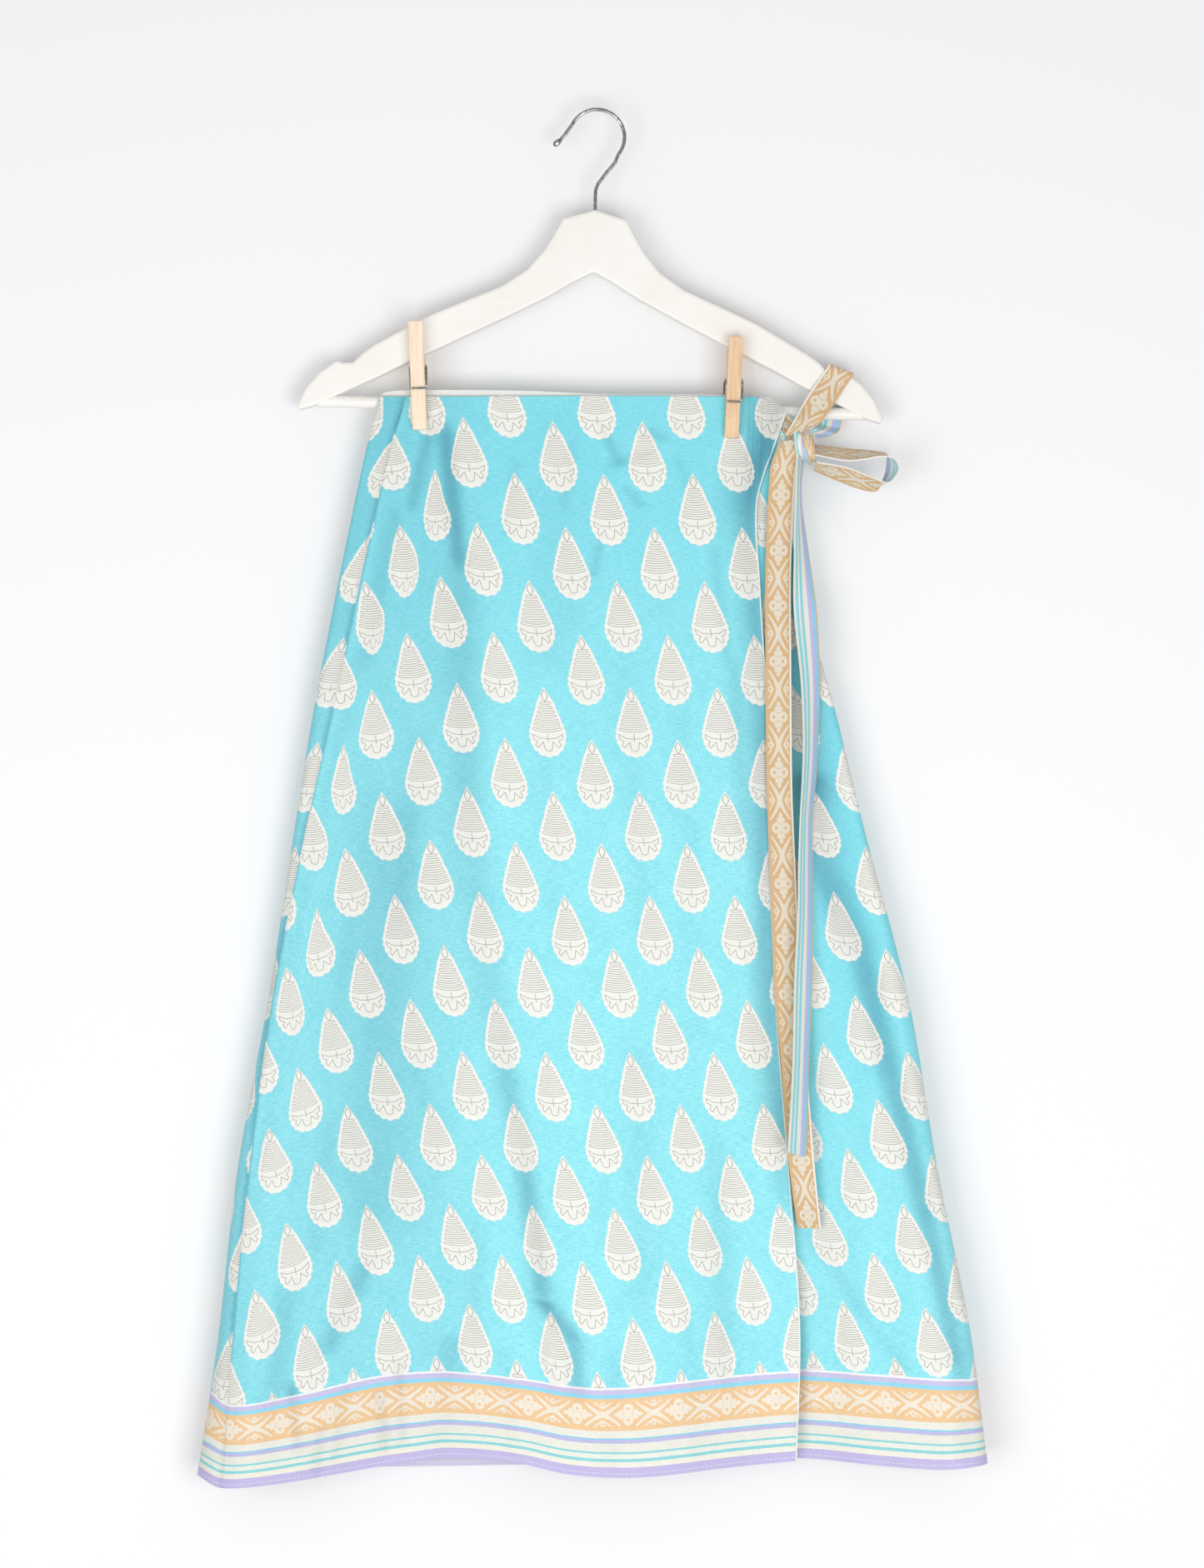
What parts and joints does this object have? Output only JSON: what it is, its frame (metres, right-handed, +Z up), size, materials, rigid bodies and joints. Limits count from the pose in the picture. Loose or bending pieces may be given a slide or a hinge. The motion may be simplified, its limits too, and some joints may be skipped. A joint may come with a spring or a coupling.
{
  "type": "wrap skirt on hanger",
  "caption": "Long printed wrap skirt with a striped border hem and a side bow, clipped flat with wooden pegs to the bar of a white wooden hanger.",
  "frame": {"origin": "the inner top of the hanger's hook, where a rail or wall hook carries it", "axes": "+Z up, +X to the wearer's left seen from the front, the skirt's front faces -Y"},
  "size_m": [0.5917, 0.0527, 1.0369],
  "materials": {
    "skirt_cloth": "thin soft silk, turquoise with cream leaf motifs and a striped border",
    "tie_cloth": "border strip folded in two, gold vine pattern on one face and stripes on the other",
    "painted_wood": "white satin paint",
    "peg_wood_pale": "bare pale wood",
    "peg_wood_tan": "bare tan wood",
    "steel_wire": "polished steel wire"
  },
  "bodies": {
    "root": {"front_panel": "skirt_cloth", "back_panel": "skirt_cloth", "under_panel": "skirt_cloth", "tie_tail_gold": "tie_cloth", "tie_tail_striped": "tie_cloth", "tie_loop_over_arm": "tie_cloth", "tie_loop_right": "tie_cloth", "tie_lead": "tie_cloth", "tie_knot": "tie_cloth", "hanger_body": "painted_wood", "hanger_bar": "painted_wood", "hanger_hook": "steel_wire", "peg_left_front": "peg_wood_pale", "peg_left_back": "peg_wood_pale", "peg_left_spring": "steel_wire", "peg_right_front": "peg_wood_tan", "peg_right_back": "peg_wood_tan", "peg_right_spring": "steel_wire"}
  },
  "joints": []
}
